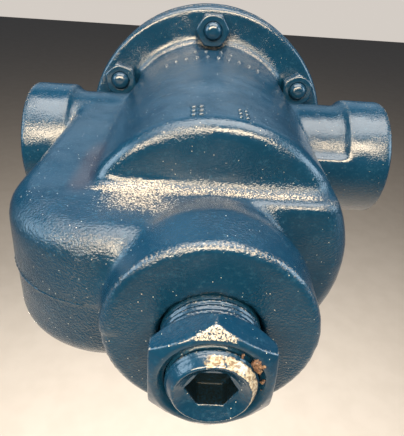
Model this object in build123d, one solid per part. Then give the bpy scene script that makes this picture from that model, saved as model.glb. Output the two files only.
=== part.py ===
from build123d import *
import os
from math import cos, pi, radians, sin

# Inverted-bucket steam trap with an integral strainer and in-line screwed ports.
# Millimetres. +Z runs up the body's axis to the cap, +X from the inlet to the outlet.
# The model is drawn about the crossing of the port axis and the body's axis, then
# moved so that the origin is the centre of the inlet port's mouth.

# ---- driving dimensions -------------------------------------------------------------
FACE_TO_FACE = 127.0         # inlet mouth to outlet mouth
FLANGE_R = 47.6
BODY_FLANGE_Z = (20.5, 28.0)
GASKET_T = 0.8
CAP_FLANGE_T = 6.7
BARREL_TOP_R, BARREL_END_R = 34.8, 33.4
BARREL_END_Z = -70.0
CHAMBER_R, CHAMBER_FLOOR_Z = 29.0, -60.0

COLLAR_R, NECK_R = 20.7, 18.5
COLLAR_L = 15.5
PORT_THREAD_R, PORT_THREAD_L = 11.8, 16.0
PORT_CORE_R = 9.5
PAD_Y = (-6.5, 11.0)         # raised pad under the outlet neck

BAND_HALF_Y = 17.0           # strainer housing, half its thickness
BAND_END_Z = -75.5
BULGE_OUT_X, BULGE_END_Z = -47.2, -92.5
BULGE_CORNER_R, BULGE_EDGE_R = 25.0, 6.0
BOSS_R, BOSS_Z = 21.4, -100.0
BOSS_SHOULDER = (21.8, -88.0)    # radius and height where the boss starts to taper
BOSS_WAIST = (16.4, -71.0)
BULGE_FILLET_R, NECK_FILLET_R = 2.5, 0.8

BOLT_COUNT, BOLT_PCD_R = 6, 39.9
BOLT_R, BOLT_HOLE_R = 3.3, 3.55
BOLT_TIP_Z = 12.2
NUT_AF, NUT_H = 11.1, 5.8
SPOT_FACE_R = 7.2
NUT_TURNS = (12, -20, 17, 0, -29, 8)   # degrees each nut is turned past flat-outwards

STRAINER_R, STRAINER_TOP_Z = 12.0, -68.0
SCREEN_R, SCREEN_T = 8.5, 0.7
SCREEN_SEAT_Z = -66.0
TUBE_R, TUBE_BORE_R, TUBE_TOP_Z = 6.0, 4.8, -34.0

RETAINER_THREAD_R, RETAINER_HOLE_R = 9.9, 10.0
RETAINER_THREAD_L, RETAINER_PITCH = 12.0, 1.2
MOUTH_R = 10.6               # relief at the mouth of the retainer's hole
HEX_AF, HEX_Z = 22.2, (-110.9, -105.0)
PLUG_R, PLUG_FACE_Z, PLUG_BACK_Z = 8.2, -113.2, -102.4
PLUG_HOLE_R = 8.3
PLUG_RIM_R, PLUG_BEVEL = 6.8, 1.7
SOCKET_AF, SOCKET_DEPTH = 7.94, 6.0

DOME_R, DOME_TOP_Z, DOME_IN_R, DOME_IN_Z = 34.0, 57.5, 28.0, 51.5
SEAT_X, SEAT_HOLE_R, SEAT_LIP_Z = 11.0, 5.0, 36.5
SEAT_BOSS_Z = 40.0
OUTLET_X, OUTLET_R = 37.6, 5.0
CROSSWAY_Z, CROSSWAY_R = 46.5, 3.8
TEST_X, TEST_HOLE_R, TEST_TOP_Z = -11.0, 6.0, 60.0
TEST_HEAD_W = 7.0
PIPE_PITCH = 1.41            # thread pitch of both pipe plugs

PIVOT_X, PIVOT_Z, PIVOT_R = 19.5, 34.0, 1.2
SCREW_X, SCREW_Y = 20.0, (-9.5, 9.5)    # the bracket's two screws
LEVER_HALF_W, LEVER_T = 3.0, 1.6
HOOK_ARM = 24.0              # pivot to the bucket's hook
BUCKET_TRAVEL = 6.0
BUCKET_R, BUCKET_T = 25.0, 0.8
BUCKET_Z = (-57.0, 18.0)     # rim and top with the bucket down
VENT_R = 0.8
RIVET_X, RIVET_R = 6.0, 1.2

CAP_FACE_Z = BODY_FLANGE_Z[1] + GASKET_T
CAP_TOP_Z = CAP_FACE_Z + CAP_FLANGE_T
HALF_FACE = FACE_TO_FACE / 2
SWING = BUCKET_TRAVEL / HOOK_ARM * 180 / pi   # lever angle from shut to wide open
HOOK_X = PIVOT_X - HOOK_ARM


# ---- shapes that the pieces share ---------------------------------------------------
def cyl(r, z0, z1, x=0.0, y=0.0):
    """Upright cylinder from z0 to z1."""
    return Pos(x, y, (z0 + z1) / 2) * Cylinder(r, z1 - z0)


def cyl_x(r, x0, x1, z=0.0):
    """Cylinder along X from x0 to x1."""
    return Pos((x0 + x1) / 2, 0, z) * Rot(0, 90, 0) * Cylinder(r, x1 - x0)


def cyl_y(r, y0, y1, x, z):
    """Cylinder along Y from y0 to y1."""
    return Pos(x, (y0 + y1) / 2, z) * Rot(90, 0, 0) * Cylinder(r, y1 - y0)


def block(x0, x1, y0, y1, z0, z1):
    """Box between two corners."""
    return Pos((x0 + x1) / 2, (y0 + y1) / 2, (z0 + z1) / 2) * Box(x1 - x0, y1 - y0, z1 - z0)


def outline(points):
    """Closed face from (u, v, corner radius) points."""
    corners = [(u, v) for u, v, _ in points]
    return make_face(FilletPolyline(*corners, radius=[r for _, _, r in points], close=True))


def lathe(points):
    """Solid of revolution about Z from (radius, z, corner radius) points."""
    return revolve(Plane.XZ * outline(points), Axis.Z)


def plate_xz(points, half_y):
    """Plate of the outline (x, z, corner radius), reaching half_y each side of y = 0."""
    return extrude(Plane.XZ * outline(points), half_y, both=True)


def hexagon(across_flats, z0, z1, turn=0.0):
    """Hexagonal prism; two flats are square to X, and corners lie on Y, when turn is 0."""
    corner_r = across_flats / 2 / cos(pi / 6)
    face = Pos(0, 0, z0) * Rot(0, 0, turn + 30) * RegularPolygon(corner_r, 6)
    return extrude(face, z1 - z0)


def thread_profile(r, z0, z1, pitch, depth, bore):
    """Sleeve whose outside carries V rings of the given pitch and depth."""
    turns = round((z1 - z0) / pitch)
    step = (z1 - z0) / turns
    rings = []
    for i in range(turns):
        z = z0 + i * step
        rings += [(r - depth, z), (r, z + step * 0.4), (r, z + step * 0.6)]
    rings.append((r - depth, z1))
    edge = Polyline((bore, z0), *rings, (bore, z1), close=True)
    return revolve(Plane.XZ * make_face(edge), Axis.Z)


def around(count, radius, start=90.0):
    """Places evenly spaced on a circle about Z, as (x, y, angle)."""
    for i in range(count):
        angle = start + i * 360.0 / count
        yield radius * cos(radians(angle)), radius * sin(radians(angle)), angle


def edges_near(shape, test, shortest=0.0):
    """Edges, no shorter than stated, whose middle point passes the test."""
    return [e for e in shape.edges() if e.length > shortest and test(e @ 0.5)]


# ---- body ---------------------------------------------------------------------------
def barrel_and_flange():
    z0, z1 = BODY_FLANGE_Z
    return lathe([(0, BARREL_END_Z, 0), (BARREL_END_R, BARREL_END_Z, 4.0),
                  (BARREL_TOP_R, z0, 3.5), (FLANGE_R, z0, 1.8),
                  (FLANGE_R, z1, 0), (0, z1, 0)])


def strainer_band():
    """Step across the body's end, 17 mm each side of the parting plane."""
    round_end = lathe([(0, BAND_END_Z, 0), (BARREL_END_R, BAND_END_Z, 5.0),
                       (BARREL_END_R + 0.4, -50, 0), (0, -50, 0)])
    band = round_end & block(-30, 40, -BAND_HALF_Y, BAND_HALF_Y, BAND_END_Z, -50)
    return fillet(edges_near(band, lambda p: abs(p.Z - BAND_END_Z) < 0.1 and abs(p.X) < 20), 2.0)


def inlet_bulge():
    """Housing of the passage that leads from the inlet down to the strainer."""
    bulge = plate_xz([(-6, -4, 0), (BULGE_OUT_X + 1.2, -4, 0),
                      (BULGE_OUT_X, BULGE_END_Z, BULGE_CORNER_R),
                      (-6, BULGE_END_Z, 0)], BAND_HALF_Y)
    rim = edges_near(bulge, lambda p: abs(p.Y) > BAND_HALF_Y - 0.1 and p.X < -7 and p.Z < -5)
    return fillet(rim, BULGE_EDGE_R)


def strainer_boss():
    return lathe([(0, BOSS_Z, 0), (BOSS_R, BOSS_Z, 1.2), (*BOSS_SHOULDER, 6.0),
                  (*BOSS_WAIST, 0), (BOSS_WAIST[0], -66, 0), (0, -66, 0)])


def port(side):
    """Screwed port: a plain neck and a thicker collar, along +X or -X."""
    step_x = HALF_FACE - COLLAR_L
    arm = lathe([(0, 20, 0), (NECK_R, 20, 0), (NECK_R, step_x, 0.8), (COLLAR_R, step_x, 1.0),
                 (COLLAR_R, HALF_FACE, 1.5), (0, HALF_FACE, 0)])
    return Rot(0, 90 * side, 0) * arm


def outlet_pad():
    """Raised pad that carries the collar's surface along the neck's underside."""
    pad = cyl_x(COLLAR_R, 25, HALF_FACE - COLLAR_L + 1)
    return pad & block(20, HALF_FACE, PAD_Y[0], PAD_Y[1], -COLLAR_R, -5)


def outlet_saddle():
    """Metal around the outlet passage where it leaves the flange for the neck."""
    saddle = block(28, OUTLET_X + 8.6, -9, 9, 8, BODY_FLANGE_Z[0] + 1)
    return fillet(saddle.edges().filter_by(Axis.Z), 4.0)


def inlet_way():
    """Flat passage from the inlet port down the bulge to the strainer chamber."""
    way = plate_xz([(-33.6, 8, 4), (-42.4, 8, 4), (-42.4, -84, 18), (-6, -84, 0),
                    (-6, -70, 0), (-33.6, -70, 5)], 10.5)
    edges = edges_near(way, lambda p: abs(p.Y) > 10 and p.X < -8)
    return fillet(edges, 2.5) + cyl_x(PORT_CORE_R, -HALF_FACE, -38)


def outlet_way():
    """Passage from the flange's outer side down into the outlet port."""
    return cyl(OUTLET_R, 0, 30, OUTLET_X) + cyl_x(PORT_CORE_R, 35.5, HALF_FACE)


def strainer_chamber():
    """Cored chamber, the screen's seat above it and the screwed mouth below it."""
    thread_top = BOSS_Z + RETAINER_THREAD_L
    return (cyl(STRAINER_R, thread_top, STRAINER_TOP_Z)
            + cyl(SCREEN_R + 0.15, STRAINER_TOP_Z - 1, SCREEN_SEAT_Z)
            + cyl(TUBE_R + 0.05, SCREEN_SEAT_Z - 1, CHAMBER_FLOOR_Z + 1)
            + cyl(RETAINER_HOLE_R, BOSS_Z - 1, thread_top)
            + cyl(MOUTH_R, BOSS_Z - 1, BOSS_Z + 1.6))


def bolt_holes(r, z0, z1):
    return [cyl(r, z0, z1, x, y) for x, y, _ in around(BOLT_COUNT, BOLT_PCD_R)]


def casting():
    """Outside of the body, its inner corners filled as a casting's are."""
    solid = barrel_and_flange() + strainer_band() + inlet_bulge() + strainer_boss()
    solid += port(-1) + port(1) + outlet_pad() + outlet_saddle()
    along_bulge = edges_near(solid, lambda p: abs(abs(p.Y) - BAND_HALF_Y) < 0.2
                             and -31 < p.X < -28, shortest=50)
    solid = fillet(along_bulge, BULGE_FILLET_R)
    inlet_root = edges_near(solid, lambda p: -40 < p.X < -25 and abs(p.Y) > 15 and p.Z > 0, 15)
    outlet_root = [e for e in edges_near(solid, lambda p: 28 < p.X < 36 and p.Z > -25, 14)
                   if e.geom_type == GeomType.BSPLINE]
    return fillet(inlet_root + outlet_root, NECK_FILLET_R)


def body():
    solid = casting() - cyl(CHAMBER_R, CHAMBER_FLOOR_Z, 40)
    solid -= inlet_way() + strainer_chamber()
    solid -= outlet_way()
    for side in (-1, 1):
        mouth = (-HALF_FACE - 1, -HALF_FACE + PORT_THREAD_L)
        x0, x1 = mouth if side < 0 else (-mouth[1], -mouth[0])
        solid -= cyl_x(PORT_THREAD_R, x0, x1)
    solid -= bolt_holes(BOLT_HOLE_R, 10, 40)
    return solid - bolt_holes(SPOT_FACE_R, 8, BODY_FLANGE_Z[0])


# ---- cap and its fasteners ----------------------------------------------------------
def cap_outside():
    dome = lathe([(0, CAP_FACE_Z, 0), (FLANGE_R, CAP_FACE_Z, 0), (FLANGE_R, CAP_TOP_Z, 1.0),
                  (DOME_R, CAP_TOP_Z, 3.0), (DOME_R - 2, DOME_TOP_Z, 14.0), (0, DOME_TOP_Z, 0)])
    rib = block(0, OUTLET_X + 8.6, -8.5, 8.5, CAP_TOP_Z - 2, CROSSWAY_Z + 7)
    rib = fillet(edges_near(rib, lambda p: p.X > 40 and abs(p.Y) > 8), 4.5)
    rib = fillet(edges_near(rib, lambda p: p.X > 1 and p.Z > CROSSWAY_Z + 6.9), 3.0)
    return dome + rib + cyl(10.5, 50, TEST_TOP_Z, TEST_X)


def cap_inside():
    """Hollow of the cap, less the seat boss, the crossway's wall and the bracket pads."""
    hollow = lathe([(0, CAP_FACE_Z - 1, 0), (DOME_IN_R, CAP_FACE_Z - 1, 0),
                    (DOME_IN_R - 1, DOME_IN_Z, 9.0), (0, DOME_IN_Z, 0)])
    hollow -= cyl(8.5, SEAT_BOSS_Z, DOME_TOP_Z, SEAT_X)
    hollow -= block(SEAT_X, 40, -7.5, 7.5, SEAT_BOSS_Z, DOME_TOP_Z)
    for y in SCREW_Y:
        hollow -= cyl(3.6, SEAT_BOSS_Z, DOME_TOP_Z, SCREW_X, y)
    return hollow


def cap():
    solid = cap_outside() - cap_inside()
    solid -= cyl(SEAT_HOLE_R, SEAT_BOSS_Z - 1, CROSSWAY_Z, SEAT_X)
    solid -= cyl_x(CROSSWAY_R, SEAT_X - 3, OUTLET_X + 3, CROSSWAY_Z)
    solid -= cyl(OUTLET_R, CAP_FACE_Z - 1, CROSSWAY_Z, OUTLET_X)
    solid -= cyl(TEST_HOLE_R, 40, TEST_TOP_Z + 1, TEST_X)
    for y in SCREW_Y:
        solid -= cyl(1.55, SEAT_BOSS_Z - 1, SEAT_BOSS_Z + 6.5, SCREW_X, y)
    solid -= bolt_holes(SPOT_FACE_R, CAP_TOP_Z, CAP_TOP_Z + 7)
    return solid - bolt_holes(BOLT_HOLE_R, 25, 40)


def cap_gasket():
    ring = cyl(FLANGE_R - 0.8, BODY_FLANGE_Z[1], CAP_FACE_Z)
    ring -= cyl(CHAMBER_R, 20, 40)
    ring -= cyl(OUTLET_R, 20, 40, OUTLET_X)
    return ring - bolt_holes(BOLT_HOLE_R, 20, 40)


def cap_bolts():
    """Six hexagon bolts, heads on the cap, rounded points below the nuts."""
    head = hexagon(NUT_AF, CAP_TOP_Z, CAP_TOP_Z + 5.2)
    head &= lathe([(0, CAP_TOP_Z, 0), (NUT_AF, CAP_TOP_Z, 0), (NUT_AF, CAP_TOP_Z + 3, 0),
                   (NUT_AF / 2 - 0.6, CAP_TOP_Z + 5.2, 0), (0, CAP_TOP_Z + 5.2, 0)])
    shank = lathe([(0, BOLT_TIP_Z, 0), (BOLT_R, BOLT_TIP_Z, 2.4), (BOLT_R, CAP_TOP_Z, 0),
                   (0, CAP_TOP_Z, 0)])
    bolt = head + shank
    places = around(BOLT_COUNT, BOLT_PCD_R)
    return Compound([Pos(x, y, 0) * Rot(0, 0, a) * bolt for x, y, a in places])


def cap_nuts():
    """Six hexagon nuts drawn up against the body flange."""
    top = BODY_FLANGE_Z[0]
    nut = hexagon(NUT_AF, top - NUT_H, top)
    nut &= lathe([(0, top - NUT_H, 0), (NUT_AF / 2 - 0.2, top - NUT_H, 0),
                  (NUT_AF, top - NUT_H + 3.6, 0), (NUT_AF, top, 0), (0, top, 0)])
    nut -= cyl(BOLT_R + 0.03, top - 10, top + 1)
    places = zip(around(BOLT_COUNT, BOLT_PCD_R), NUT_TURNS)
    return Compound([Pos(x, y, 0) * Rot(0, 0, a + t) * nut for (x, y, a), t in places])


def test_plug():
    """Square-headed pipe plug in the cap's top."""
    thread = thread_profile(TEST_HOLE_R - 0.06, TEST_TOP_Z - 9, TEST_TOP_Z + 1, PIPE_PITCH, 0.5, 0)
    half = TEST_HEAD_W / 2
    head = block(-half, half, -half, half, TEST_TOP_Z + 1, TEST_TOP_Z + 6)
    head = fillet(head.edges().filter_by(Axis.Z), 0.6)
    head &= lathe([(0, TEST_TOP_Z, 0), (6, TEST_TOP_Z, 0), (6, TEST_TOP_Z + 4, 0),
                   (half, TEST_TOP_Z + 6, 0), (0, TEST_TOP_Z + 6, 0)])
    return Pos(TEST_X, 0, 0) * (thread + head)


# ---- valve gear inside the cap ------------------------------------------------------
def valve_seat():
    seat = cyl(SEAT_HOLE_R - 0.05, SEAT_BOSS_Z, SEAT_BOSS_Z + 5)
    seat += hexagon(12.0, SEAT_LIP_Z + 0.8, SEAT_BOSS_Z)
    seat += cyl(3.2, SEAT_LIP_Z, SEAT_BOSS_Z)
    seat -= cyl(1.6, SEAT_LIP_Z - 1, SEAT_LIP_Z + 2.5)
    seat -= cyl(2.6, SEAT_LIP_Z + 2.5, SEAT_BOSS_Z + 6)
    return Pos(SEAT_X, 0, 0) * seat


def guide_bracket():
    """Strap under the cap's pads, with two legs that carry the lever's pin."""
    x0, x1, z = PIVOT_X - 2.0, PIVOT_X + 3.0, SEAT_BOSS_Z
    strap = block(x0, x1, -13, 13, z - 1.5, z)
    for y in SCREW_Y:
        strap -= cyl(1.65, z - 3, z + 1, SCREW_X, y)
    for side in (-1, 1):
        y0, y1 = sorted((side * 4.0, side * 5.4))
        leg = block(x0, x1, y0, y1, PIVOT_Z - 2.6, z)
        strap += fillet(leg.edges().filter_by(Axis.Y).sort_by(Axis.Z)[:2], 2.0)
    return strap - cyl_y(PIVOT_R + 0.05, -6, 6, PIVOT_X, PIVOT_Z)


def guide_screws():
    z = SEAT_BOSS_Z - 1.5
    screw = cyl(1.5, z, z + 7) + cyl(2.7, z - 1.8, z)
    screw -= block(-3, 3, -0.35, 0.35, z - 1.8, z - 0.9)
    return Compound([Pos(SCREW_X, y, 0) * screw for y in SCREW_Y])


def pivot_pin():
    return cyl_y(PIVOT_R, -6.2, 6.2, PIVOT_X, PIVOT_Z)


def opened(shape):
    """The shape swung from the valve's shut place to its wide open place."""
    pivot = Axis((PIVOT_X, 0, PIVOT_Z), (0, 1, 0))
    return shape.rotate(pivot, -SWING)


def lever():
    """Flat lever: an eye round the pin, a seat for the valve, a narrow hook end."""
    z0, z1 = PIVOT_Z - LEVER_T / 2, PIVOT_Z + LEVER_T / 2
    bar = block(HOOK_X + 3, PIVOT_X, -LEVER_HALF_W, LEVER_HALF_W, z0, z1)
    bar += block(HOOK_X - 3, HOOK_X + 4, -1.5, 1.5, z0, z1)
    bar += block(HOOK_X - 3, HOOK_X - 1.6, -1.5, 1.5, z0, z1 + 1.2)
    bar += cyl_y(2.3, -LEVER_HALF_W, LEVER_HALF_W, PIVOT_X, PIVOT_Z)
    bar -= cyl_y(PIVOT_R + 0.05, -5, 5, PIVOT_X, PIVOT_Z)
    return opened(bar - cyl(1.3, z0 - 1, z1 + 1, SEAT_X))


def valve_disc():
    """Hardened valve with a domed face, its stem through the lever."""
    top = SEAT_LIP_Z - 0.15
    z1 = PIVOT_Z + LEVER_T / 2
    disc = lathe([(0, z1, 0), (2.6, z1, 0), (2.6, top, 0.8), (0, top, 0)])
    return opened(Pos(SEAT_X, 0, 0) * (disc + cyl(1.25, PIVOT_Z - LEVER_T / 2 - 1.2, z1)))


def valve_clip():
    """Spring washer that holds the valve's stem under the lever."""
    z = PIVOT_Z - LEVER_T / 2
    return opened(cyl(2.4, z - 0.7, z, SEAT_X) - cyl(1.25, z - 2, z + 1, SEAT_X))


# ---- bucket and what carries it -----------------------------------------------------
def bucket():
    z0, z1 = BUCKET_Z
    shell = lathe([(0, z0, 0), (BUCKET_R, z0, 0), (BUCKET_R, z1, 4.0), (0, z1, 0)])
    inner_r = BUCKET_R - BUCKET_T
    shell -= lathe([(0, z0 - 1, 0), (inner_r, z0 - 1, 0),
                    (inner_r, z1 - BUCKET_T, 4.0 - BUCKET_T), (0, z1 - BUCKET_T, 0)])
    shell -= cyl(RIVET_R + 0.05, z1 - 2, z1 + 1, RIVET_X)
    return shell - cyl(VENT_R, z1 - 2, z1 + 1, 14, 8)


def bucket_clip():
    """Riveted strap whose loop hangs on the lever's hook end."""
    z = BUCKET_Z[1]
    hook_z = PIVOT_Z - HOOK_ARM * sin(radians(SWING))
    x0, x1 = HOOK_X - 1.0, HOOK_X + 1.4
    foot = block(HOOK_X - 4, 9, -3.5, 3.5, z, z + 1.0)
    loop = block(x0, x1, -4.2, 4.2, z, hook_z + 4.4)
    loop -= block(x0 - 1, x1 + 1, -2.6, 2.6, hook_z - 2.6, hook_z + 3.0)
    return foot + loop - cyl(RIVET_R + 0.05, z - 1, z + 2, RIVET_X)


def clip_rivet():
    z = BUCKET_Z[1]
    rivet = cyl(RIVET_R, z - BUCKET_T, z + 1.0) + cyl(2.2, z + 1.0, z + 2.0)
    return Pos(RIVET_X, 0, 0) * rivet


def inlet_tube():
    """Thimble screwed into the chamber's floor, open under the bucket."""
    return cyl(TUBE_R, SCREEN_SEAT_Z, TUBE_TOP_Z) - cyl(TUBE_BORE_R, -70, 0)


# ---- strainer -----------------------------------------------------------------------
def strainer_screen():
    """Perforated tube between the seat in the body and the retainer's lip."""
    z0, z1 = BOSS_Z + 8.2, SCREEN_SEAT_Z - 0.2
    tube = cyl(SCREEN_R, z0, z1) - cyl(SCREEN_R - SCREEN_T, z0 - 1, z1 + 1)
    rows, columns, hole_r = 7, 6, 1.1
    holes = []
    for row in range(rows):
        z = z0 + 3.4 + row * (z1 - z0 - 6.8) / (rows - 1)
        for column in range(columns):
            turn = (column + 0.5 * (row % 2)) * 180.0 / columns
            holes.append(Rot(0, 0, turn) * cyl_x(hole_r, -SCREEN_R - 1, SCREEN_R + 1, z))
    return tube - holes


def screen_retainer():
    """Hexagon bushing that closes the strainer and carries the blowdown plug."""
    z0, z1 = HEX_Z
    top = BOSS_Z + RETAINER_THREAD_L
    corner_r = HEX_AF / 2 / cos(pi / 6)
    head = hexagon(HEX_AF, z0, z1)
    head &= lathe([(0, z0, 0), (HEX_AF / 2 - 0.7, z0, 0), (corner_r + 0.2, z0 + 1.5, 0),
                   (corner_r + 0.2, z1 - 2.2, 0), (HEX_AF / 2, z1, 0), (0, z1, 0)])
    neck = thread_profile(RETAINER_THREAD_R, z1, BOSS_Z + 1.6, RETAINER_PITCH, 0.7, 0)
    solid = head + neck + cyl(RETAINER_THREAD_R, BOSS_Z + 1.6, top)
    solid -= cyl(PLUG_HOLE_R, z0 - 1, PLUG_BACK_Z + 0.6)
    solid -= Pos(0, 0, z0 + 0.6) * Cone(PLUG_HOLE_R + 1.2, PLUG_HOLE_R, 1.2)
    solid -= cyl(6.4, z0, top + 1)
    return solid - cyl(SCREEN_R + 0.12, BOSS_Z + 8.0, top + 1)


def blowdown_plug():
    """Pipe plug with a hexagon socket, its face dished inside a narrow rim."""
    z0, z1 = PLUG_FACE_Z, PLUG_BACK_Z
    z_thread = z0 + PLUG_BEVEL
    plug = thread_profile(PLUG_R, z_thread, z1, PIPE_PITCH, 0.6, 0)
    plug += lathe([(0, z0, 0), (PLUG_RIM_R, z0, 0.2), (PLUG_R - 0.25, z_thread, 0),
                   (0, z_thread, 0)])
    dish_r, dish_depth = PLUG_RIM_R - 0.25, 1.3
    socket_r = SOCKET_AF / 2 / cos(pi / 6)
    plug -= Pos(0, 0, z0 + dish_depth / 2) * Cone(dish_r, socket_r, dish_depth)
    return plug - hexagon(SOCKET_AF, z0 - 1, z0 + SOCKET_DEPTH, 30)


# ---- output -------------------------------------------------------------------------
PARTS = {
    "body": body, "cap": cap, "cap_gasket": cap_gasket, "cap_bolts": cap_bolts,
    "cap_nuts": cap_nuts, "test_plug": test_plug, "valve_seat": valve_seat,
    "guide_bracket": guide_bracket, "guide_screws": guide_screws, "pivot_pin": pivot_pin,
    "lever": lever, "valve_disc": valve_disc, "valve_clip": valve_clip, "bucket": bucket,
    "bucket_clip": bucket_clip, "clip_rivet": clip_rivet, "inlet_tube": inlet_tube,
    "strainer_screen": strainer_screen, "screen_retainer": screen_retainer,
    "blowdown_plug": blowdown_plug,
}

os.makedirs("parts", exist_ok=True)
for name, make in PARTS.items():
    export_step(Pos(HALF_FACE, 0, 0) * make(), f"parts/{name}.step")
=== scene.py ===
"""Looks of a cast-iron inverted-bucket steam trap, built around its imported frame.

Lengths are written in millimetres and multiplied by MM. Those of the lamps, the floor and
the camera's near and far limits are in metres, as Blender's are. The frame's +Z points from
the screen retainer to the cap, and +Y is down, to the floor.
"""

import math

import bmesh
import bpy
import numpy as np
from mathutils import Matrix, Vector, noise
from mathutils.bvhtree import BVHTree


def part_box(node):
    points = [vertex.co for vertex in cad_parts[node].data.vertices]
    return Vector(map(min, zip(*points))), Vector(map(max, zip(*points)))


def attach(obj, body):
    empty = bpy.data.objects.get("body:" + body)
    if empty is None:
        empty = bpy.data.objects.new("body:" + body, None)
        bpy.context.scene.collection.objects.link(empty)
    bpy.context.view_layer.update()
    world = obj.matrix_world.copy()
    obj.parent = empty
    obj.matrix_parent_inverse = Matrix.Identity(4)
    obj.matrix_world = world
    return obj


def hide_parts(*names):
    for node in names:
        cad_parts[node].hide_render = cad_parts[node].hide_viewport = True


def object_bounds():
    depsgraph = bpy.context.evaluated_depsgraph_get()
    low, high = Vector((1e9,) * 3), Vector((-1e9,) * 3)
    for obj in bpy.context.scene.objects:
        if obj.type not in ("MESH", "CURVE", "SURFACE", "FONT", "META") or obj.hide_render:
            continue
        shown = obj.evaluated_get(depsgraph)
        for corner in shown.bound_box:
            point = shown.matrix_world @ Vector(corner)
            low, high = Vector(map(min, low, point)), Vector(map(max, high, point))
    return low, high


MM = 0.001

# Camera: its place from the body's axis and the ports' axis, and how it is turned.
CAMERA_FROM_CROSSING = Vector((-5.43, -63.42, -163.63)) * MM
CAMERA_PITCH = 30.0
CAMERA_ROLL = 3.99
CAMERA_YAW = 1.97
CAMERA_LENS = 37.32
CAMERA_SENSOR = 36.0
CAMERA_NEAR, CAMERA_FAR = 0.005, 20.0

# Paint, in linear RGB.
PAINT = (0.0022, 0.0205, 0.046)
PAINT_DEEP = (0.0016, 0.0140, 0.032)
PAINT_WORN = (0.026, 0.080, 0.130)
# Pale colour for dust, edge wear and painted highlights.
PALE_DUST_AND_HIGHLIGHT = (0.55, 0.47, 0.36)
# Pale specks: dust and painted sparkle.
SPECK_DUST_AND_SPARKLE = (0.70, 0.66, 0.58)
# Bare metal, partly a painted highlight.
BARE_AND_GLINT = (0.34, 0.31, 0.24)
TARNISH = (0.13, 0.095, 0.062)
RUST = (0.085, 0.038, 0.016)
STAIN = (0.034, 0.021, 0.022)
# Near-black used as painted shade in hollow corners and in the plug's socket.
PAINTED_SHADE = (0.0025, 0.0045, 0.0050)

# Port threads.
THREAD_PITCH = 1.814
THREAD_CREST_R = 11.8
THREAD_ROOT_R = 12.75
THREAD_MOUTH_R = 13.4
THREAD_LENGTH = 15.2

# Rounding of the remeshed copies, in rounds of averaging: all over, and in hollow corners.
EDGE_ROUNDS = 2
CORNER_ROUNDS = 9

# Dust and painted highlights on the body: the middle and the half sizes of each patch, from
# the body's axis. The step is a painted highlight; the flange's corner is dust and painted
# highlight.
PALE_PATCH = ((-17, -17, -77), (9.5, 6.0, 6.5))
HIGHLIGHT_STEP = ((2, -17.6, -72.6), (31.0, 1.5, 0.9))
FLANGE_CORNER_Z = 19.4
FLANGE_CORNER_R = 36.5

# Flash: rays come in from a circle about a point in the inlet passage, over these degrees.
FLASH_CENTRE = (-25, 0, -60)
FLASH_RAY_START = 45
FLASH_FIRST_ANGLE = -56
FLASH_SWEEP = 144
FLASH_STEPS = 260
FLASH_SUNK = 0.25
FLASH_LONGEST_STEP = 2

# Foundry marks: the angles and heights of each group, and each mark's half width and length.
MARK_GROUPS = (((-27, -21, -15, -9, -3, 3, 9, 15, 21, 27), (-5.5,), 0.65, 1.7),
               ((-10, -4, 5, 11), (3.5,), 0.6, 1.5),
               ((-9.5, -6.4), (-60.0, -62.8, -65.6), 0.85, 0.55),
               ((8.8, 11.4), (-60.5, -63.0, -65.5), 0.6, 0.55))
MARK_HEIGHT = 0.62
MARK_RAY_START = 60

# Crust: the middle of its heap, then single crumbs, each as an angle, a radius and a size.
CRUST_LUMPS = 34
CRUST_HEAP = (33, 9.0, 0.46)
CRUST_CRUMBS = [(9, 8.7, 0.3), (58, 8.7, 0.3), (-5, 8.6, 0.25)]

# Floor: how far below the trap it lies, and how far it reaches, in metres.
FLOOR_DROP = 0.95
FLOOR_REACH = 8.0

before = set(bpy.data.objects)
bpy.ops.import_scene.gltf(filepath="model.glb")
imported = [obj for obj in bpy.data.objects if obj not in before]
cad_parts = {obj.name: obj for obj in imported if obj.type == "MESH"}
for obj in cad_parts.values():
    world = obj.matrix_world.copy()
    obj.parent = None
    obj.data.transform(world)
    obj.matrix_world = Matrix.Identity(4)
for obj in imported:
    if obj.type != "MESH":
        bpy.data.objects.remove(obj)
cad_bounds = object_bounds()
scene = bpy.context.scene

gasket_low, gasket_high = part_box("cap_gasket")
body_low, body_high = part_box("body")
AXIS_X = (gasket_low.x + gasket_high.x) / 2
CROSSING = Vector((AXIS_X, 0, 0))


# ---- meshes ---------------------------------------------------------------------------
def coordinates(mesh):
    """Vertex positions as an array of rows."""
    flat = np.empty(len(mesh.vertices) * 3, np.float32)
    mesh.vertices.foreach_get("co", flat)
    return flat.reshape(-1, 3).astype(float)


def set_coordinates(mesh, points):
    mesh.vertices.foreach_set("co", points.astype(np.float32).ravel())
    mesh.update()


def vertex_normals(mesh):
    flat = np.empty(len(mesh.vertices) * 3, np.float32)
    mesh.vertex_normals.foreach_get("vector", flat)
    return flat.reshape(-1, 3).astype(float)


def edge_pairs(mesh):
    flat = np.empty(len(mesh.edges) * 2, np.int32)
    mesh.edges.foreach_get("vertices", flat)
    return flat.reshape(-1, 2)


def averaged(values, pairs, rounds, share=0.5):
    """Each row moved towards the mean of its neighbours, rounds times."""
    ends = np.concatenate([pairs[:, 0], pairs[:, 1]])
    others = np.concatenate([pairs[:, 1], pairs[:, 0]])
    count = np.maximum(np.bincount(ends, minlength=len(values)), 1)
    for _ in range(rounds):
        mean = np.stack([np.bincount(ends, values[others, k], len(values)) / count
                         for k in range(values.shape[1])], axis=1)
        values = values + share * (mean - values)
    return values


def new_object(name, mesh):
    made = bpy.data.objects.new(name, mesh)
    scene.collection.objects.link(made)
    return made


def mesh_from(name, verts, faces):
    mesh = bpy.data.meshes.new(name)
    mesh.from_pydata([tuple(v) for v in verts], [], faces)
    mesh.validate()
    mesh.update()
    return mesh


def smooth_shaded(mesh):
    mesh.polygons.foreach_set("use_smooth", np.ones(len(mesh.polygons), bool))
    mesh.update()


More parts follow.
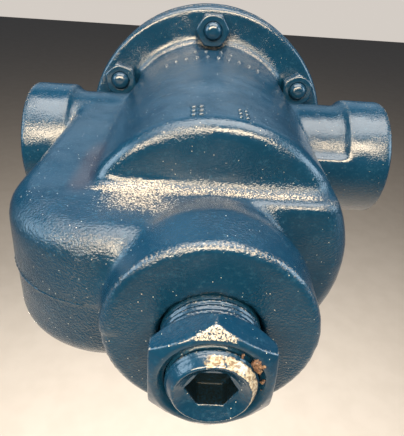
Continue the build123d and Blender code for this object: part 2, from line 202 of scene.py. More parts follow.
def welded_copy(node, name):
    """A copy of a CAD node's mesh with its split vertices joined, as a new object."""
    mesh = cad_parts[node].data.copy()
    mesh.materials.clear()
    work = bmesh.new()
    work.from_mesh(mesh)
    bmesh.ops.remove_doubles(work, verts=work.verts, dist=1e-6)
    work.to_mesh(mesh)
    work.free()
    for attribute in ("custom_normal", "sharp_edge", "sharp_face"):
        if attribute in mesh.attributes:
            mesh.attributes.remove(mesh.attributes[attribute])
    return new_object(name, mesh)


def with_modifiers_applied(piece):
    bpy.context.view_layer.update()
    graph = bpy.context.evaluated_depsgraph_get()
    mesh = bpy.data.meshes.new_from_object(piece.evaluated_get(graph))
    old = piece.data
    piece.modifiers.clear()
    piece.data = mesh
    bpy.data.meshes.remove(old)


def remeshed(piece, voxel):
    modifier = piece.modifiers.new("voxels", "REMESH")
    modifier.mode = "VOXEL"
    modifier.voxel_size = voxel
    with_modifiers_applied(piece)


def relief_of(mesh, rounds, scale):
    """For each vertex, above 0 on outer edges and below 0 in hollow corners."""
    points = coordinates(mesh)
    pairs = edge_pairs(mesh)
    softer = averaged(points, pairs, rounds)
    relief = ((points - softer) * vertex_normals(mesh)).sum(axis=1) / scale
    return np.clip(averaged(relief[:, None], pairs, 2)[:, 0], -1, 1)


def worn_and_lit_relief(mesh, scale):
    """Relief whose outer edges count less where they face away from the upper side, so that
    the pale edges, wear and painted highlight, are brightest on top.
    """
    relief = relief_of(mesh, 6, scale)
    upward = np.clip(-vertex_normals(mesh)[:, 1] * 1.1 + 0.1, 0, 1)
    return np.where(relief > 0, relief * (0.22 + 0.78 * upward), relief)


def store(mesh, name, values):
    """A number for each vertex, which the material reads by that name."""
    attribute = mesh.attributes.new(name, "FLOAT", "POINT")
    attribute.data.foreach_set("value", values.astype(np.float32))


def fill_corners(mesh, rounds, keep_out):
    """Rounds the hollow corners only, as a casting's are, except where keep_out is 1."""
    points = coordinates(mesh)
    pairs = edge_pairs(mesh)
    hollow = np.clip(-relief_of(mesh, 6, 0.25 * MM) * 3 - 0.3, 0, 1)
    hollow = averaged((hollow * (1 - keep_out))[:, None], pairs, 12, 0.6)
    share = np.clip(hollow * 2.5, 0, 1) * (1 - keep_out)[:, None]
    for _ in range(rounds):
        points = points + share * (averaged(points, pairs, 1, 0.6) - points)
    set_coordinates(mesh, points)


def lumpy(mesh, amount, size, seed):
    """Vertices moved along their normals by smooth noise of that feature size."""
    points = coordinates(mesh)
    outward = vertex_normals(mesh)
    offset = Vector((seed, seed * 0.37, -seed * 0.61))
    shift = [noise.fractal(Vector(p) / size + offset, 0.9, 2.1, 3) for p in points]
    set_coordinates(mesh, points + outward * (np.array(shift) * amount)[:, None])


def soft_copy(node, name, body, voxel, lump, lump_size, seed, keep_out=None):
    """A CAD node's shape with the rounded edges that casting and thick paint leave."""
    piece = welded_copy(node, name)
    remeshed(piece, voxel * MM)
    mesh = piece.data
    set_coordinates(mesh, averaged(coordinates(mesh), edge_pairs(mesh), EDGE_ROUNDS))
    if keep_out:
        fill_corners(mesh, CORNER_ROUNDS, keep_out(coordinates(mesh)))
    # The relief paints outer edges pale, as wear and painted highlight, and hollow corners
    # dark, as painted shade.
    store(mesh, "relief", worn_and_lit_relief(mesh, voxel * MM * 0.35))
    lumpy(mesh, lump * MM, lump_size * MM, seed)
    smooth_shaded(mesh)
    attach(piece, body)
    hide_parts(node)
    return piece


# ---- shader nodes ---------------------------------------------------------------------
def add(tree, kind, inputs=None, **settings):
    """A shader node with its settings, and its inputs linked or set."""
    made = tree.nodes.new(kind)
    for key, value in settings.items():
        setattr(made, key, value)
    for key, value in (inputs or {}).items():
        if isinstance(value, bpy.types.NodeSocket):
            tree.links.new(value, made.inputs[key])
        else:
            made.inputs[key].default_value = value
    return made


def millimetres(tree, stretch=(1, 1, 1)):
    """The object's own coordinates, in millimetres, so that patterns stay with it."""
    place = add(tree, "ShaderNodeTexCoord").outputs["Object"]
    scale = tuple(1000 * s for s in stretch)
    return add(tree, "ShaderNodeVectorMath", {0: place, 1: scale},
               operation="MULTIPLY").outputs[0]


def noisy(tree, where, size, detail=2.0, rough=0.5):
    """Noise of that feature size in millimetres, about 0 to 1."""
    return add(tree, "ShaderNodeTexNoise",
               {"Vector": where, "Scale": 1 / size, "Detail": detail,
                "Roughness": rough}).outputs["Fac"]


def math_node(tree, operation, first, second=0.0, clamp=False):
    return add(tree, "ShaderNodeMath", {0: first, 1: second}, operation=operation,
               use_clamp=clamp).outputs[0]


def span(tree, value, low, high, to_low=0.0, to_high=1.0):
    """Value from low..high to to_low..to_high, smoothly and clamped."""
    return add(tree, "ShaderNodeMapRange",
               {"Value": value, "From Min": low, "From Max": high, "To Min": to_low,
                "To Max": to_high}, interpolation_type="SMOOTHSTEP").outputs[0]


def blend_colour(tree, share, first, second):
    def filled(value):
        return value if isinstance(value, bpy.types.NodeSocket) else (*value, 1.0)
    return add(tree, "ShaderNodeMix", {0: share, 6: filled(first), 7: filled(second)},
               data_type="RGBA").outputs[2]


def stored(tree, name):
    """The mesh's number of that name, 0 where the mesh has none."""
    return add(tree, "ShaderNodeAttribute", attribute_name=name).outputs["Fac"]


def specks(tree, where, cell, reach, share):
    """Small spots in some cells of a random grid: 1 inside a spot, 0 outside."""
    cells = add(tree, "ShaderNodeTexVoronoi", {"Vector": where, "Scale": 1 / cell})
    chosen = add(tree, "ShaderNodeSeparateColor", {0: cells.outputs["Color"]})
    spot = span(tree, cells.outputs["Distance"], reach, reach * 0.5)
    return math_node(tree, "MULTIPLY", spot,
                     math_node(tree, "GREATER_THAN", chosen.outputs[0], 1 - share))


def bumped(tree, height, depth, normal=None):
    """A surface normal from a height of 0 to 1 that stands for that depth in mm."""
    inputs = {"Height": height, "Distance": depth * MM, "Strength": 1.0}
    if normal is not None:
        inputs["Normal"] = normal
    return add(tree, "ShaderNodeBump", inputs).outputs[0]


def new_material(name):
    material = bpy.data.materials.new(name)
    material.use_nodes = True
    material.node_tree.nodes.clear()
    return material, material.node_tree


def finish_material(tree, inputs):
    shader = add(tree, "ShaderNodeBsdfPrincipled", inputs)
    add(tree, "ShaderNodeOutputMaterial", {"Surface": shader.outputs[0]})


def paint_colours(tree, where, speck_amount):
    """Blue enamel of uneven thickness, painted shade in hollow corners, and pale marks: edge
    wear, dust and painted highlights.
    """
    relief = stored(tree, "relief")
    colour = blend_colour(tree, span(tree, noisy(tree, where, 16, 4), 0.3, 0.7, 0.0, 0.6),
                          PAINT, PAINT_DEEP)
    colour = blend_colour(tree, span(tree, noisy(tree, where, 1.1, 4, 0.7), 0.5, 0.8, 0, 0.3),
                          colour, PAINT_WORN)
    # Painted shade: hollow corners are darkened towards near-black.
    colour = blend_colour(tree, span(tree, relief, -0.25, -0.8, 0, 0.7), colour, PAINTED_SHADE)
    colour = blend_colour(tree, span(tree, stored(tree, "rust"), 0.1, 1.0, 0, 0.35),
                          colour, STAIN)
    # Pale outer edges: wear and dust on the paint, with painted highlight, brightest on the
    # upper edges.
    worn_and_glint = math_node(tree, "MULTIPLY", span(tree, relief, 0.25, 0.9),
                     span(tree, noisy(tree, where, 0.45, 3, 0.7), 0.5, 0.62))
    # Pale patches: dust, with painted highlights on the step and in the flange's corner.
    dust_and_highlight = span(tree, math_node(tree, "ADD", noisy(tree, where, 0.33, 3, 0.7),
                                   math_node(tree, "MULTIPLY", stored(tree, "dust_and_highlight"), 0.3)),
                   0.72, 0.88)
    colour = blend_colour(tree, math_node(tree, "MULTIPLY", worn_and_glint, 0.4), colour, PALE_DUST_AND_HIGHLIGHT)
    colour = blend_colour(tree, math_node(tree, "MULTIPLY", dust_and_highlight, 0.6), colour, PALE_DUST_AND_HIGHLIGHT)
    # Pale specks: dust, and painted sparkle from the grain.
    fine = specks(tree, where, 0.7, 0.16, 0.10 * speck_amount)
    coarse = specks(tree, where, 2.2, 0.06, 0.05 * speck_amount)
    dust_and_sparkle = math_node(tree, "MAXIMUM", fine, coarse)
    colour = blend_colour(tree, math_node(tree, "MULTIPLY", dust_and_sparkle, 0.55), colour, SPECK_DUST_AND_SPARKLE)
    return colour, math_node(tree, "MAXIMUM", dust_and_sparkle, math_node(tree, "MAXIMUM", worn_and_glint, dust_and_highlight))


def paint_surface(tree, where, grain, grain_size, swell):
    """Normal of enamel over sand-cast iron: slow waves, then grains, rougher in places."""
    normal = bumped(tree, noisy(tree, where, 2.6, 3, 0.55), swell)
    coarse = span(tree, math_node(tree, "ADD", noisy(tree, where, 11, 2),
                                  math_node(tree, "MULTIPLY", stored(tree, "dust_and_highlight"), 0.3)),
                  0.40, 0.80, 0.40, 1.6)
    coarse = math_node(tree, "ADD", coarse,
                       math_node(tree, "MULTIPLY", stored(tree, "sandy"), 1.1))
    grains = math_node(tree, "MULTIPLY", noisy(tree, where, grain_size, 2, 0.6), coarse)
    return bumped(tree, grains, grain, normal)


def painted(name, grain=0.15, grain_size=0.50, swell=0.05, speck_amount=1.0, rough=0.14):
    """Semi-gloss blue enamel over a surface with that grain."""
    material, tree = new_material(name)
    where = millimetres(tree)
    colour, dull = paint_colours(tree, where, speck_amount)
    roughness = span(tree, noisy(tree, where, 3.0, 4, 0.6), 0.3, 0.7,
                     rough - 0.03, rough + 0.05)
    roughness = math_node(tree, "ADD", roughness, math_node(tree, "MULTIPLY", dull, 0.35),
                          clamp=True)
    finish_material(tree, {"Base Color": colour, "Roughness": roughness,
                           "Normal": paint_surface(tree, where, grain, grain_size, swell),
                           "Specular IOR Level": 0.5})
    return material


def metal(name, colour, dark, rough, stretch=(1, 1, 1), line=0.35, depth=0.01):
    """Bare metal with tool marks along the unstretched directions, and stains."""
    material, tree = new_material(name)
    where = millimetres(tree)
    marks = noisy(tree, millimetres(tree, stretch), line, 3, 0.6)
    stain = span(tree, noisy(tree, where, 4.0, 4, 0.6), 0.42, 0.75)
    mottled = blend_colour(tree, span(tree, marks, 0.35, 0.7), colour,
                           tuple(c * 0.82 for c in colour))
    shade = blend_colour(tree, math_node(tree, "MULTIPLY", stain, 0.6), mottled, dark)
    roughness = math_node(tree, "ADD", span(tree, marks, 0.3, 0.7, rough, rough + 0.12),
                          math_node(tree, "MULTIPLY", stain, 0.2), clamp=True)
    finish_material(tree, {"Base Color": shade, "Roughness": roughness, "Metallic": 1.0,
                           "Normal": bumped(tree, marks, depth)})
    return material


def graphite(name):
    """Compressed gasket sheet: dark, fibrous, with pale flecks."""
    material, tree = new_material(name)
    where = millimetres(tree)
    fibres = noisy(tree, millimetres(tree, (1, 3.5, 1)), 0.5, 4, 0.65)
    colour = blend_colour(tree, span(tree, fibres, 0.3, 0.75), (0.012, 0.013, 0.014),
                          (0.045, 0.045, 0.043))
    colour = blend_colour(tree, specks(tree, where, 0.8, 0.15, 0.08), colour,
                          (0.22, 0.20, 0.17))
    finish_material(tree, {"Base Color": colour,
                           "Roughness": span(tree, fibres, 0.3, 0.7, 0.55, 0.8),
                           "Normal": bumped(tree, fibres, 0.05)})
    return material


def crusty(name):
    """Rust and scale that has caught dirt."""
    material, tree = new_material(name)
    where = millimetres(tree)
    grains = noisy(tree, where, 0.35, 4, 0.7)
    colour = blend_colour(tree, span(tree, grains, 0.35, 0.65), (0.022, 0.012, 0.007), RUST)
    colour = blend_colour(tree, span(tree, noisy(tree, where, 0.8, 3, 0.6), 0.52, 0.62),
                          colour, (0.13, 0.080, 0.042))
    finish_material(tree, {"Base Color": colour,
                           "Roughness": span(tree, grains, 0.3, 0.7, 0.6, 0.9),
                           "Normal": bumped(tree, grains, 0.12)})
    return material


# ---- pieces ---------------------------------------------------------------------------
def dress(piece, material):
    piece.data.materials.clear()
    piece.data.materials.append(material)


def open_port_bores(mesh):
    """Makes room around each port's bore for the thread that lines it."""
    points = coordinates(mesh)
    reach = np.abs(points[:, 0] - AXIS_X)
    radius = np.hypot(points[:, 1], points[:, 2])
    face = (body_high.x - body_low.x) / 2
    inside = (reach > face - THREAD_LENGTH * MM) & (radius < THREAD_MOUTH_R * MM)
    inside &= radius > (THREAD_CREST_R - 1.4) * MM
    grow = THREAD_MOUTH_R * MM / radius[inside]
    points[inside, 1] *= grow
    points[inside, 2] *= grow
    set_coordinates(mesh, points)


def surface_tree(piece):
    graph = bpy.context.evaluated_depsgraph_get()
    return BVHTree.FromObject(piece, graph)


def flash_section(middle, out, height):
    """Four corners across the ridge, the outer ones sunk into the wall."""
    sunk = middle - out * FLASH_SUNK * MM
    return [sunk + Vector((0, -0.55 * MM, 0)),
            middle + out * height + Vector((0, -0.12 * MM, 0)),
            middle + out * height * 0.9 + Vector((0, 0.12 * MM, 0)),
            sunk + Vector((0, 0.35 * MM, 0))]


def make_flash(body, material):
    """Thin ridge of flash on the mould's parting line, round the inlet passage."""
    tree = surface_tree(body)
    centre = CROSSING + Vector(FLASH_CENTRE) * MM
    verts, faces, middles = [], [], []
    for k in range(FLASH_STEPS):
        angle = math.radians(FLASH_FIRST_ANGLE + FLASH_SWEEP * k / (FLASH_STEPS - 1))
        out = Vector((-math.cos(angle), 0, -math.sin(angle)))
        hit = tree.ray_cast(centre + out * FLASH_RAY_START * MM, -out)[0]
        wander = noise.noise(Vector((k * 0.11, 3.3, 0.7)))
        height = (0.26 + 0.22 * noise.noise(Vector((k * 0.35, 0.2, 9.1)))) * MM
        middles.append(hit + Vector((0, 0.12 * wander * MM, 0)))
        verts += flash_section(middles[-1], out, height)
    for k in range(FLASH_STEPS - 1):
        if (middles[k + 1] - middles[k]).length >= FLASH_LONGEST_STEP * MM:
            continue
        for j in range(3):
            a = k * 4 + j
            faces.append((a, a + 1, a + 5, a + 4))
    piece = new_object("parting_flash", mesh_from("parting_flash", verts, faces))
    finish_mark(piece, material)


def raised_mark(verts, faces, centre, across, along, outward, half_size, seed):
    """One rounded raised mark on a surface, appended to verts and faces."""
    rings, around = 5, 14
    start = len(verts)
    for ring in range(rings):
        tilt = math.pi / 2 * ring / (rings - 1)
        for k in range(around):
            turn = 2 * math.pi * k / around
            rough = 1 + 0.12 * noise.noise(Vector((seed * 3.1 + k * 0.6, ring * 0.7, 0)))
            spread = math.cos(tilt) ** 0.6 * rough
            verts.append(centre + across * math.cos(turn) * spread * half_size[0]
                         + along * math.sin(turn) * spread * half_size[1]
                         + outward * (math.sin(tilt) * half_size[2] - 0.12 * MM))
    for ring in range(rings - 1):
        for k in range(around):
            a = start + ring * around + k
            b = start + ring * around + (k + 1) % around
            faces.append((a, b, b + around, a + around))
    faces.append(tuple(start + (rings - 1) * around + k for k in range(around)))


def make_cast_marks(body, material):
    """Plain foundry pips and bars on the barrel, which spell nothing."""
    tree = surface_tree(body)
    verts, faces = [], []
    marks = [(angle, z, half_across, half_along)
             for angles, heights, half_across, half_along in MARK_GROUPS
             for angle in angles for z in heights]
    for seed, (angle, z, half_across, half_along) in enumerate(marks):
        turn = math.radians(angle)
        out = Vector((math.sin(turn), -math.cos(turn), 0))
        start = Vector((AXIS_X, 0, z * MM)) + out * MARK_RAY_START * MM
        hit = tree.ray_cast(start, -out)[0]
        across = Vector((math.cos(turn), math.sin(turn), 0))
        size = (half_across * MM, half_along * MM, MARK_HEIGHT * MM)
        raised_mark(verts, faces, hit, across, Vector((0, 0, 1)), out, size, seed)
    finish_mark(new_object("cast_marks", mesh_from("cast_marks", verts, faces)), material)


def finish_mark(piece, material):
    smooth_shaded(piece.data)
    # A fixed relief: high on the marks near the flange, which paints them pale as painted
    # glints, and low on the rest.
    near_flange = coordinates(piece.data)[:, 2] > -20 * MM
    store(piece.data, "relief", np.where(near_flange, 0.85, 0.2))
    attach(piece, "housing")
    dress(piece, material)


def thread_radius(depth, turn):
    """Radius of the port's inner surface at a depth in mm and a share of a turn."""
    phase = (depth / THREAD_PITCH - turn) % 1.0
    ridge = 1 - abs(2 * phase - 1)
    shape = min(max((ridge - 0.12) / 0.76, 0), 1)
    fade = min(max((THREAD_LENGTH - 1.0 - depth) / 1.5, 0), 1)
    radius = THREAD_CREST_R + (THREAD_ROOT_R - THREAD_CREST_R) * shape * fade
    mouth = THREAD_MOUTH_R + 0.25 - depth * 1.2
    return max(radius, mouth)


def port_thread(name, side):
    """The screwed lining of a port, as a helical V thread with a bevelled mouth."""
    around, step = 120, 0.16
    rows = int(THREAD_LENGTH / step) + 1
    face_x = body_low.x if side < 0 else body_high.x
    verts, faces = [], []
    for row in range(rows):
        depth = row * step
        x = face_x - side * (depth + 0.04) * MM
        for k in range(around):
            angle = 2 * math.pi * k / around
            radius = thread_radius(depth, k / around * side) * MM
            verts.append((x, radius * math.cos(angle), radius * math.sin(angle)))
    for row in range(rows - 1):
        for k in range(around):
            a, b = row * around + k, row * around + (k + 1) % around
            quad = (a, b, b + around, a + around)
            faces.append(quad if side > 0 else quad[::-1])
    mesh = mesh_from(name, verts, faces)
    smooth_shaded(mesh)
    store(mesh, "relief", relief_of(mesh, 5, 0.12 * MM))
    piece = new_object(name, mesh)
    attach(piece, "housing")
    return piece


def casting_materials():
    return {
        "casting": painted("paint_on_sand_casting"),
        "cap": painted("paint_on_cap_casting", speck_amount=1.2),
        "smooth": painted("paint_on_machined_steel", grain=0.045, grain_size=0.6,
                          swell=0.04, speck_amount=0.8, rough=0.17),
    }


def from_axis(points):
    return np.hypot(points[:, 0] - AXIS_X, points[:, 1])


def machined_holes(points):
    """1 where a vertex belongs to the retainer's mouth, a port's bore or the flange."""
    from_port_axis = np.hypot(points[:, 1], points[:, 2])
    mouth = (from_axis(points) < 12 * MM) & (points[:, 2] < -60 * MM)
    bore = (from_port_axis < 14.5 * MM) & (np.abs(points[:, 0] - AXIS_X) > 45 * MM)
    return (mouth | bore | (points[:, 2] > 24 * MM)).astype(float)


def roughen_end(mesh):
    """The casting is coarser on the barrel's end and still more on the passage's."""
    points = coordinates(mesh)
    outer = np.clip((from_axis(points) / MM - 20) / 6, 0, 1)
    end_face = np.clip((-66 - points[:, 2] / MM) / 4, 0, 1)
    passage_front = np.clip((-76 - points[:, 2] / MM) / 3, 0, 1)
    store(mesh, "sandy", (0.10 * end_face + 0.75 * passage_front) * (0.2 + 0.8 * outer))


def box_distance(points, place, power):
    """0 at the middle of a place, and 1 on the rounded box of its half sizes."""
    middle, half = place
    corner = np.array([AXIS_X + middle[0] * MM, middle[1] * MM, middle[2] * MM])
    away = np.abs((points - corner) / MM / np.array(half))
    return (away ** power).sum(axis=1) ** (1 / power)


def place_dust_and_highlights(mesh):
    """Dust and painted highlights in the hollow corners and on the sandy patches that face up
    (-Y).
    """
    points = coordinates(mesh)
    upward = -vertex_normals(mesh)[:, 1]
    corner = np.clip(-relief_of(mesh, 14, 0.5 * MM) * 1.6 - 0.1, 0, 1)
    ledge = corner * np.clip(upward * 1.6 - 0.15, 0, 1)
    patch = np.clip(1.5 - box_distance(points, PALE_PATCH, 3) * 1.1, 0, 1)
    # The step along the shelf: a painted highlight.
    step = np.clip(1.6 - box_distance(points, HIGHLIGHT_STEP, 4) * 1.15, 0, 1)
    # The flange's corner: dust and a painted highlight.
    flange_corner = np.clip(1.3 - np.abs(points[:, 2] / MM - FLANGE_CORNER_Z) / 1.6, 0, 1)
    flange_corner *= np.clip((FLANGE_CORNER_R * MM - from_axis(points)) / MM, 0, 1)
    facing_up = np.clip(upward * 2, 0, 1)
    values = ledge + (0.85 * patch + 1.1 * step + 0.75 * flange_corner) * facing_up
    values = np.clip(values, 0, 1)
    store(mesh, "dust_and_highlight", averaged(values[:, None], edge_pairs(mesh), 3)[:, 0])


def stain_crease(mesh):
    """A brown stain in the crease between the inlet passage and the barrel."""
    points = coordinates(mesh) / MM - np.array([AXIS_X / MM, 0, 0])
    across = np.hypot((points[:, 0] + 30.5) / 3.2, (points[:, 1] + 18.5) / 4.0)
    along = np.clip((points[:, 2] + 78) / 8, 0, 1) * np.clip((-38 - points[:, 2]) / 14, 0, 1)
    store(mesh, "rust", np.clip(1.4 - across, 0, 1) * along)


def offset_upper_half(mesh):
    """The mould's upper half stands a little proud along the inlet passage."""
    points = coordinates(mesh)
    outward = vertex_normals(mesh)
    in_passage = (points[:, 0] < AXIS_X - 18 * MM) & (points[:, 0] > AXIS_X - 47.8 * MM)
    in_passage &= points[:, 2] < -19 * MM
    side = np.clip(-points[:, 1] / (0.8 * MM) + 0.5, 0, 1)
    fade = np.clip((15 * MM + points[:, 1]) / (12 * MM), 0, 1)
    flat = np.clip(1.2 - np.abs(outward[:, 1]) * 2, 0, 1)
    shift = 0.28 * MM * side * fade * flat * in_passage
    set_coordinates(mesh, points + outward * shift[:, None])


def make_castings(paints):
    body = soft_copy("body", "body_casting", "housing", voxel=0.80,
                     lump=0.06, lump_size=6.0, seed=3.1, keep_out=machined_holes)
    place_dust_and_highlights(body.data)
    roughen_end(body.data)
    stain_crease(body.data)
    offset_upper_half(body.data)
    make_flash(body, paints["casting"])
    make_cast_marks(body, paints["smooth"])
    open_port_bores(body.data)
    dress(body, paints["casting"])
    cap = soft_copy("cap", "cap_casting", "housing", voxel=0.75,
                    lump=0.06, lump_size=6.0, seed=7.7)
    dress(cap, paints["cap"])
    for name, side in (("inlet_thread", -1), ("outlet_thread", 1)):
        dress(port_thread(name, side), paints["smooth"])


def make_fittings(paints):
    kinds = (("cap_bolts", "flange_bolts", "housing", "bolts", 0.35),
             ("cap_nuts", "flange_nuts", "housing", "nuts", 0.35),
             ("test_plug", "cap_test_plug", "housing", "test_plug", 0.30),
             ("screen_retainer", "hex_retainer", "retainer", "retainer", 0.28),
             ("blowdown_plug", "socket_plug", "retainer", "blowdown_plug", 0.20))
    for seed, (node, name, body, slot, voxel) in enumerate(kinds):
        piece = soft_copy(node, name, body, voxel, lump=0.05, lump_size=2.5,
                          seed=11.3 + seed)
        dress(piece, paints["smooth"])
        if node == "screen_retainer":
            # Painted highlight on the hexagon's upper bevel.
            glint_on_hexagon(piece.data)
        if node == "blowdown_plug":
            # Bare metal and a painted highlight on the plug's bevel.
            wear_and_glint_plug(piece.data)
            dress(piece, worn_and_glinting_plug_paint(paints))
            # Painted shade: the plug's socket is made near-black.
            darken_socket(piece.data, painted_shade_material("painted_shade_in_socket"))
    make_crust()


def glint_on_hexagon(mesh):
    """Painted highlight on the bevel of the hexagon's upper corner, where it faces up and to
    the front.
    """
    points = coordinates(mesh) / MM - np.array([AXIS_X / MM, 0, 0])
    outward = vertex_normals(mesh)
    turn = np.degrees(np.arctan2(points[:, 0], -points[:, 1]))
    corner = np.clip((22 - np.abs(turn)) / 5, 0, 1)
    front = np.clip((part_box("screen_retainer")[0].z / MM + 2.4 - points[:, 2]) / 0.4, 0, 1)
    bevel = np.clip(-outward[:, 1] * 4 - 0.6, 0, 1) * np.clip(-outward[:, 2] * 4 - 0.6, 0, 1)
    store(mesh, "dust_and_highlight", corner * front * bevel)


def wear_and_glint_plug(mesh):
    """Bare metal and a painted highlight on the plug's bevel, from just past its top round
    the outlet side.
    """
    points = coordinates(mesh) / MM - np.array([AXIS_X / MM, 0, 0])
    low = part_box("blowdown_plug")[0]
    radius = np.hypot(points[:, 0], points[:, 1])
    turn = np.degrees(np.arctan2(points[:, 1], points[:, 0]))
    arc = np.clip((turn + 112) / 14, 0, 1) * np.clip((58 - turn) / 20, 0, 1)
    bevel = np.clip((radius - 6.55) / 0.25, 0, 1) * np.clip((8.15 - radius) / 0.3, 0, 1)
    front = np.clip((low.z / MM + 2.2 - points[:, 2]) / 0.4, 0, 1)
    store(mesh, "bare_and_glint", arc * bevel * front)


def painted_shade_material(name):
    """Painted shade for a deep socket: near-black, with hardly any shine."""
    material, tree = new_material(name)
    where = millimetres(tree)
    grains = noisy(tree, where, 0.4, 4, 0.7)
    finish_material(tree, {"Base Color": blend_colour(tree, span(tree, grains, 0.4, 0.8),
                                                      PAINTED_SHADE, PAINT_DEEP),
                           "Roughness": span(tree, grains, 0.3, 0.7, 0.25, 0.45),
                           "Normal": bumped(tree, grains, 0.06),
                           "Specular IOR Level": 0.10})
    return material


def darken_socket(mesh, material):
    """Gives the plug's socket, inside its dished face, the material that paints its shade."""
    mesh.materials.append(material)
    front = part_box("blowdown_plug")[0].z
    for face in mesh.polygons:
        centre = face.center
        if math.hypot(centre.x - AXIS_X, centre.y) < 4.8 * MM and centre.z > front + 1.5 * MM:
            face.material_index = 1


def worn_and_glinting_plug_paint(paints):
    """The machined paint, chipped through to tan metal where the mesh marks it; that metal is
    partly a painted highlight.
    """
    material = paints["smooth"].copy()
    material.name = "paint_on_plug"
    tree = material.node_tree
    shader = next(n for n in tree.nodes if n.type == "BSDF_PRINCIPLED")
    where = millimetres(tree, (1, 1, 1))
    patchy = math_node(tree, "ADD", noisy(tree, where, 0.9, 4, 0.65),
                       math_node(tree, "MULTIPLY", stored(tree, "bare_and_glint"), 0.5))
    # Pale tan patches: bare metal, partly a painted highlight.
    bare_and_glint = span(tree, patchy, 0.80, 1.00)
    tarnish = span(tree, noisy(tree, where, 0.6, 3, 0.6), 0.40, 0.60)
    metal_colour = blend_colour(tree, tarnish, BARE_AND_GLINT, TARNISH)
    paint = shader.inputs["Base Color"].links[0].from_socket
    tree.links.new(blend_colour(tree, bare_and_glint, paint, metal_colour), shader.inputs["Base Color"])
    tree.links.new(math_node(tree, "MULTIPLY", bare_and_glint, 0.2), shader.inputs["Metallic"])
    return material


def make_crust():
    """Rust and dirt caught in the gap between the plug and the hexagon."""
    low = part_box("screen_retainer")[0]
    work = bmesh.new()
    heap_turn, heap_radius, heap_size = CRUST_HEAP
    heap = [(heap_turn + 22 * noise.noise(Vector((k * 1.7, 5.2, 0))),
             heap_radius + 0.8 * noise.noise(Vector((k * 2.3, 0.4, 7))),
             heap_size + 0.30 * noise.noise(Vector((k * 1.1, 9.6, 3))))
            for k in range(CRUST_LUMPS)]
    for turn, radius, size in heap + CRUST_CRUMBS:
        angle = math.radians(turn)
        spot = Vector((AXIS_X + radius * MM * math.cos(angle),
                       -radius * MM * math.sin(angle), low.z - 0.05 * MM))
        bmesh.ops.create_icosphere(work, subdivisions=3, radius=size * MM,
                                   matrix=Matrix.Translation(spot))
    mesh = bpy.data.meshes.new("rust_crust")
    work.to_mesh(mesh)
    work.free()
    piece = new_object("rust_crust", mesh)
    remeshed(piece, 0.11 * MM)
    lumpy(piece.data, 0.42 * MM, 0.5 * MM, 4.4)
    smooth_shaded(piece.data)
    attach(piece, "retainer")
    dress(piece, crusty("rust_and_scale"))


def dress_inner_nodes():
    steel, dark = (0.56, 0.55, 0.53), (0.16, 0.13, 0.10)
    looks = {
        "cap_gasket": graphite("gasket_graphite"),
        "valve_seat": metal("hardened_steel", (0.42, 0.42, 0.43), dark, 0.24),
        "valve_disc": metal("hardened_steel_disc", (0.42, 0.42, 0.43), dark, 0.22),
        "guide_bracket": metal("pressed_stainless", steel, dark, 0.32, (1, 4, 1)),
        "guide_screws": metal("screw_steel", (0.50, 0.49, 0.47), dark, 0.28, (3, 3, 1)),
        "pivot_pin": metal("pin_steel", (0.52, 0.52, 0.53), dark, 0.20, (4, 1, 4)),
        "lever": metal("lever_stainless", steel, dark, 0.34, (4, 1, 1)),
        "valve_clip": metal("clip_stainless", steel, dark, 0.26, (1, 4, 1)),
        "bucket": metal("drawn_stainless", steel, dark, 0.30, (1, 1, 5), 0.5),
        "bucket_clip": metal("bent_stainless", steel, dark, 0.28, (1, 4, 1)),
        "clip_rivet": metal("rivet_steel", (0.50, 0.49, 0.47), dark, 0.26),
        "inlet_tube": metal("tube_steel", (0.44, 0.43, 0.41), dark, 0.36, (3, 3, 1)),
        "strainer_screen": metal("screen_stainless", steel, dark, 0.33, (2, 2, 1)),
    }
    for node, material in looks.items():
        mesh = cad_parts[node].data
        mesh.materials.clear()
        mesh.materials.append(material)


# ---- stage, camera and lights ---------------------------------------------------------
def direction(elevation, azimuth):
    """A direction above the floor, which is the +Y side. At azimuth 0 it points to the
    retainer's end (-Z), at 90 to the inlet (-X), and at 180 to the cap's end (+Z)."""
    up, turn = math.radians(elevation), math.radians(azimuth)
    return Vector((-math.sin(turn) * math.cos(up), -math.sin(up),
                   -math.cos(turn) * math.cos(up)))


def soft_light(name, elevation, azimuth, distance, size, power, colour):
    """A rectangular lamp aimed at the trap: degrees, metres and watts."""
    lamp = bpy.data.lights.new(name, "AREA")
    lamp.shape = "RECTANGLE"
    lamp.size, lamp.size_y = size
    lamp.energy = power
    lamp.color = colour
    made = bpy.data.objects.new(name, lamp)
    target = Vector((AXIS_X, 0, (body_low.z + body_high.z) / 2))
    aim = direction(elevation, azimuth)
    made.location = target + aim * distance
    made.rotation_mode = "QUATERNION"
    made.rotation_quaternion = aim.to_track_quat("Z", "Y")
    made.visible_camera = False
    scene.collection.objects.link(made)
    return made


def make_lights():
    """A warm window above the camera, a plain lamp overhead, and weak fills all round."""
    warm, cool, plain = (1.0, 0.79, 0.54), (0.68, 0.86, 1.0), (1.0, 0.95, 0.88)
    soft_light("window", 36, 8, distance=0.85, size=(1.25, 0.27), power=37.0, colour=warm)
    soft_light("overhead", 88, 0, distance=0.85, size=(1.2, 0.7), power=24.0, colour=plain)
    soft_light("far_wall", 28, 180, distance=1.3, size=(1.6, 0.7), power=2.6, colour=cool)
    for name, azimuth in (("left_fill", 80), ("right_fill", -80)):
        soft_light(name, 20, azimuth, distance=0.9, size=(0.5, 0.5), power=6.0, colour=cool)
    cap_fill = soft_light("cap_fill", 25, 165, distance=0.9, size=(0.6, 0.5), power=12.0,
                          colour=plain)
    cap_fill.visible_glossy = False
    soft_light("under_fill", -35, 175, distance=0.9, size=(0.6, 0.5), power=34.0,
               colour=plain)


def floor_material():
    """Pale matt floor with a faint mottle."""
    material, tree = new_material("pale_floor")
    tone = span(tree, noisy(tree, millimetres(tree), 60, 3), 0.3, 0.7)
    colour = blend_colour(tree, tone, (0.62, 0.57, 0.52), (0.65, 0.60, 0.55))
    finish_material(tree, {"Base Color": colour, "Roughness": 0.9})
    return material


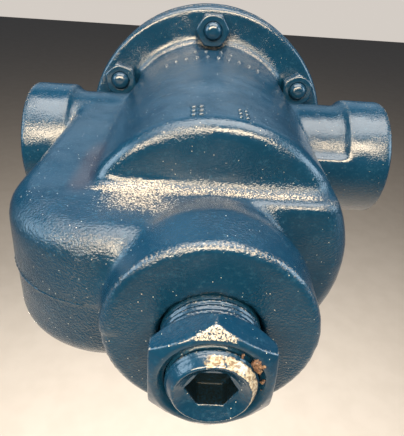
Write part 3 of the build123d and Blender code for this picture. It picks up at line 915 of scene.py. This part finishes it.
def make_floor():
    """A floor far enough below that the trap can be seen from all round."""
    height = cad_bounds[1].y + FLOOR_DROP
    corners = [(-FLOOR_REACH, height, -FLOOR_REACH), (FLOOR_REACH, height, -FLOOR_REACH),
               (FLOOR_REACH, height, FLOOR_REACH), (-FLOOR_REACH, height, FLOOR_REACH)]
    floor = new_object("floor", mesh_from("floor", corners, [(0, 1, 2, 3)]))
    dress(floor, floor_material())


def make_world():
    """Pale behind the trap, and dark to all but the camera's rays, so that the lamps rule."""
    world = bpy.data.worlds.new("studio")
    world.use_nodes = True
    tree = world.node_tree
    tree.nodes.clear()
    seen = add(tree, "ShaderNodeLightPath").outputs["Is Camera Ray"]
    colour = blend_colour(tree, seen, (0.055, 0.060, 0.068), (0.66, 0.61, 0.56))
    back = add(tree, "ShaderNodeBackground", {"Color": colour, "Strength": 1.0})
    add(tree, "ShaderNodeOutputWorld", {"Surface": back.outputs[0]})
    scene.world = world


def make_camera():
    pitch, roll, yaw = (math.radians(a) for a in (CAMERA_PITCH, CAMERA_ROLL, CAMERA_YAW))
    ahead = Vector((math.sin(yaw) * math.cos(pitch), math.sin(pitch),
                    math.cos(yaw) * math.cos(pitch)))
    level = Vector((math.cos(yaw), 0, -math.sin(yaw)))
    upright = level.cross(ahead).normalized()
    right = level * math.cos(roll) + upright * math.sin(roll)
    up = right.cross(ahead).normalized()
    data = bpy.data.cameras.new("camera")
    data.lens = CAMERA_LENS
    data.sensor_width = CAMERA_SENSOR
    camera = bpy.data.objects.new("camera", data)
    turn = Matrix((right, up, -ahead)).transposed()
    camera.matrix_world = Matrix.Translation(CROSSING + CAMERA_FROM_CROSSING) @ turn.to_4x4()
    data.clip_start = CAMERA_NEAR
    data.clip_end = CAMERA_FAR
    scene.collection.objects.link(camera)
    scene.camera = camera


def write_sizes():
    def plain(corners):
        return [[float(v) for v in corner] for corner in corners]


scene.view_settings.view_transform = "Standard"
paints = casting_materials()
make_castings(paints)
make_fittings(paints)
dress_inner_nodes()
make_floor()
make_world()
make_lights()
make_camera()
write_sizes()
